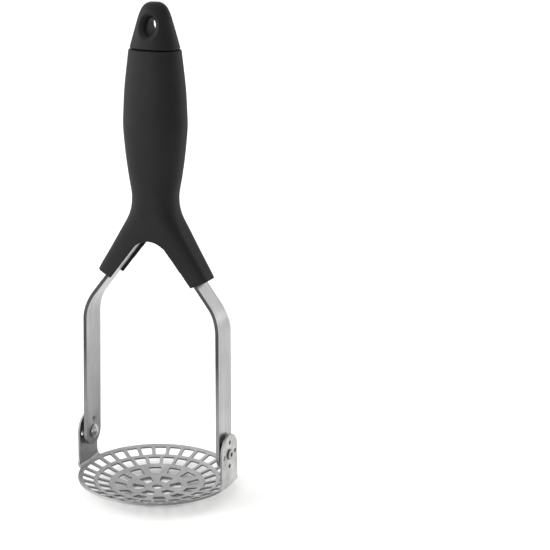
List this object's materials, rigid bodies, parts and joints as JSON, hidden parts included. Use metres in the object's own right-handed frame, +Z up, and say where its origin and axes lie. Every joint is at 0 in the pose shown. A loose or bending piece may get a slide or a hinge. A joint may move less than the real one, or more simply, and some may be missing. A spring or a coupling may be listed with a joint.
{
  "type": "folding potato ricer",
  "caption": "Hand potato ricer with a dished, perforated steel plate that folds between two flat steel arms, and a dark moulded grip with a forked lower end and a hanging hole",
  "frame": {"origin": "On the plate's middle, at the lowest point of the dish, which is also the bottom centre of the bounding box", "axes": "+Z runs up the grip, X runs through the two hinge rivets, +Y is the back"},
  "size_m": [0.0924, 0.0888, 0.2733],
  "materials": {
    "pressed_steel": "pressed stainless sheet, fine satin",
    "brushed_steel": "polished stainless strip, faintly brushed along its length",
    "rivet_steel": "bright turned steel",
    "washer_steel": "plain satin steel",
    "grip_plastic": "dark moulded plastic, fine satin texture",
    "cap_plastic": "dark moulded plastic, slightly smoother than the grip"
  },
  "bodies": {
    "handle": {"grip": "grip_plastic", "end_cap": "cap_plastic", "left_arm": "brushed_steel", "right_arm": "brushed_steel", "left_rivet": "rivet_steel", "right_rivet": "rivet_steel", "left_washer": "washer_steel", "right_washer": "washer_steel"},
    "plate": {"press_plate": "pressed_steel"}
  },
  "joints": [
    {"name": "plate_hinge", "type": "hinge", "parent": "handle", "child": "plate", "pos_m": [0, 0, 0.0284], "axis": [1, 0, 0], "range_deg": [-90, 90]}
  ]
}
